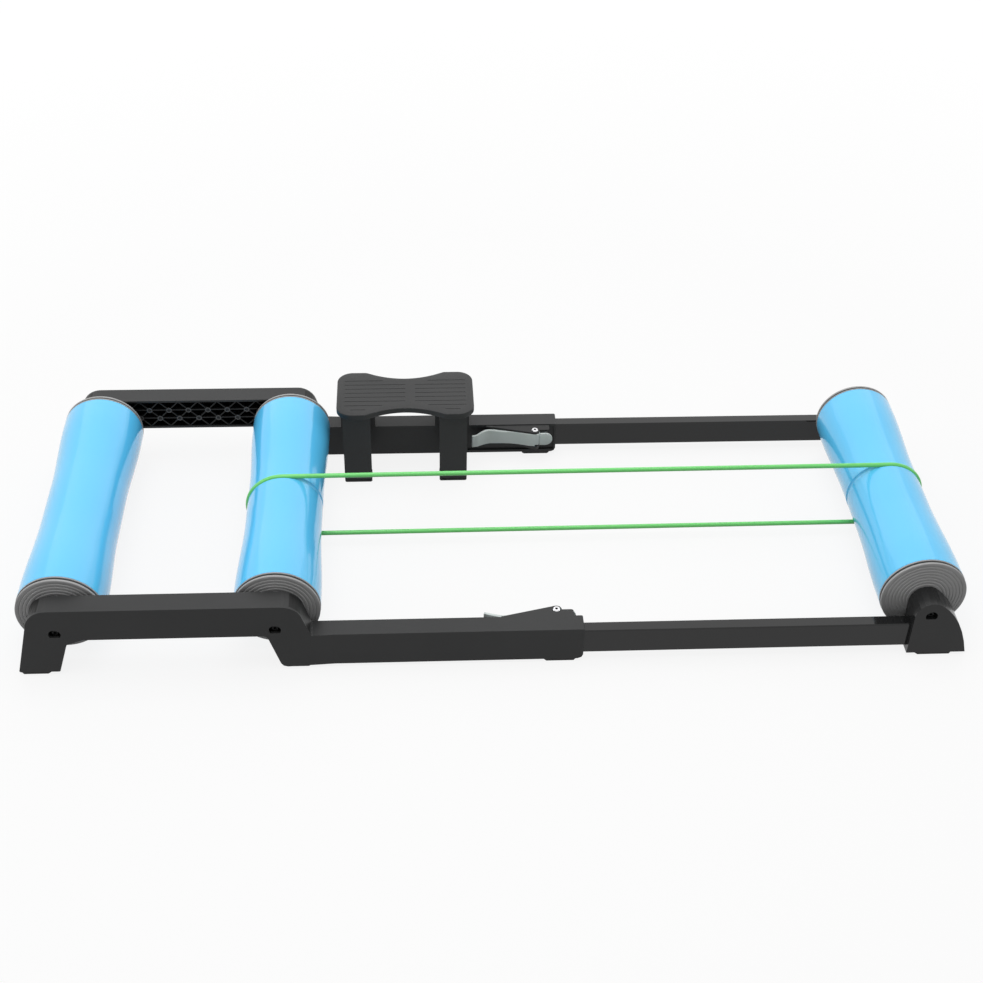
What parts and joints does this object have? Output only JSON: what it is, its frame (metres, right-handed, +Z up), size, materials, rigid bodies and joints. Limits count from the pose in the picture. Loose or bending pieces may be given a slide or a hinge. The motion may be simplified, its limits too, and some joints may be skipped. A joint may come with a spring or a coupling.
{
  "type": "bike rollers",
  "caption": "Bicycle training rollers with waisted drums in a low frame, a drive belt, a front end that slides on clamped rails, and a lift-off mounting step.",
  "frame": {"origin": "on the floor, under the middle of the whole outline with the front end at its shown setting", "axes": "+X forward, from the pair of rear drums to the front drum; +Y to the side that has the step; +Z up"},
  "size_m": [1.2542, 0.498, 0.129],
  "materials": {
    "frame_plastic": "fine grained",
    "rail_aluminium": "black anodised satin",
    "drum_plastic": "polished, light blue",
    "cap_plastic": "smooth grey",
    "lever_plastic": "smooth grey",
    "belt_rubber": "smooth green",
    "foot_rubber": "dull black",
    "bolt_steel": "plain zinc",
    "black_steel": "black oxide"
  },
  "bodies": {
    "base": {"near_side_frame": "frame_plastic", "near_lever_pivot_bolt": "bolt_steel", "near_lever_pivot_nut": "bolt_steel", "near_clamp_stop": "lever_plastic", "near_rear_foot": "foot_rubber", "near_middle_foot": "foot_rubber", "near_sleeve_foot": "foot_rubber", "far_side_frame": "frame_plastic", "far_lever_pivot_bolt": "bolt_steel", "far_lever_pivot_nut": "bolt_steel", "far_clamp_stop": "lever_plastic", "far_rear_foot": "foot_rubber", "far_middle_foot": "foot_rubber", "far_sleeve_foot": "foot_rubber", "rear_axle": "bolt_steel", "near_rear_axle_bolt": "black_steel", "far_rear_axle_bolt": "black_steel", "middle_axle": "bolt_steel", "near_middle_axle_bolt": "black_steel", "far_middle_axle_bolt": "black_steel", "drive_belt": "belt_rubber"},
    "front_carriage": {"near_rail": "rail_aluminium", "near_rail_plug": "frame_plastic", "near_front_bracket": "frame_plastic", "near_bracket_screw": "bolt_steel", "near_front_foot": "foot_rubber", "far_rail": "rail_aluminium", "far_rail_plug": "frame_plastic", "far_front_bracket": "frame_plastic", "far_bracket_screw": "bolt_steel", "far_front_foot": "foot_rubber", "front_axle": "bolt_steel", "near_front_axle_bolt": "black_steel", "far_front_axle_bolt": "black_steel"},
    "rear_roller": {"rear_roller_tube": "drum_plastic", "near_rear_end_cap": "cap_plastic", "near_rear_bearing": "bolt_steel", "far_rear_end_cap": "cap_plastic", "far_rear_bearing": "bolt_steel"},
    "middle_roller": {"middle_roller_tube": "drum_plastic", "near_middle_end_cap": "cap_plastic", "near_middle_bearing": "bolt_steel", "far_middle_end_cap": "cap_plastic", "far_middle_bearing": "bolt_steel"},
    "front_roller": {"front_roller_tube": "drum_plastic", "near_front_end_cap": "cap_plastic", "near_front_bearing": "bolt_steel", "far_front_end_cap": "cap_plastic", "far_front_bearing": "bolt_steel"},
    "near_lever": {"near_clamp_lever": "lever_plastic"},
    "far_lever": {"far_clamp_lever": "lever_plastic"},
    "step": {"step_platform": "frame_plastic", "step_rear_leg": "frame_plastic", "step_rear_tip": "foot_rubber", "step_front_leg": "frame_plastic", "step_front_tip": "foot_rubber"}
  },
  "joints": [
    {"name": "front_end_slide", "type": "slide", "parent": "base", "child": "front_carriage", "axis": [1, 0, 0], "range_m": [-0.41, 0.06], "deforming": ["drive_belt"]},
    {"name": "rear_roller_spin", "type": "hinge", "parent": "base", "child": "rear_roller", "pos_m": [-0.5696, -0.005, 0.07], "axis": [0, 1, 0], "continuous": true},
    {"name": "middle_roller_spin", "type": "hinge", "parent": "base", "child": "middle_roller", "pos_m": [-0.2896, -0.005, 0.07], "axis": [0, 1, 0], "continuous": true},
    {"name": "front_roller_spin", "type": "hinge", "parent": "front_carriage", "child": "front_roller", "pos_m": [0.5694, -0.005, 0.07], "axis": [0, 1, 0], "continuous": true},
    {"name": "near_lever_turn", "type": "hinge", "parent": "base", "child": "near_lever", "pos_m": [0.0784, -0.2048, 0.041], "axis": [0, 0, -1], "range_deg": [0, 95]},
    {"name": "far_lever_turn", "type": "hinge", "parent": "base", "child": "far_lever", "pos_m": [0.0784, 0.1948, 0.041], "axis": [0, 0, 1], "range_deg": [0, 95]},
    {"name": "step_lift", "type": "slide", "parent": "base", "child": "step", "axis": [0, 0, 1], "range_m": [0, 0.15]}
  ],
  "couplings": [
    {"joint": "front_roller_spin", "follows": "middle_roller_spin", "ratio": 1}
  ]
}
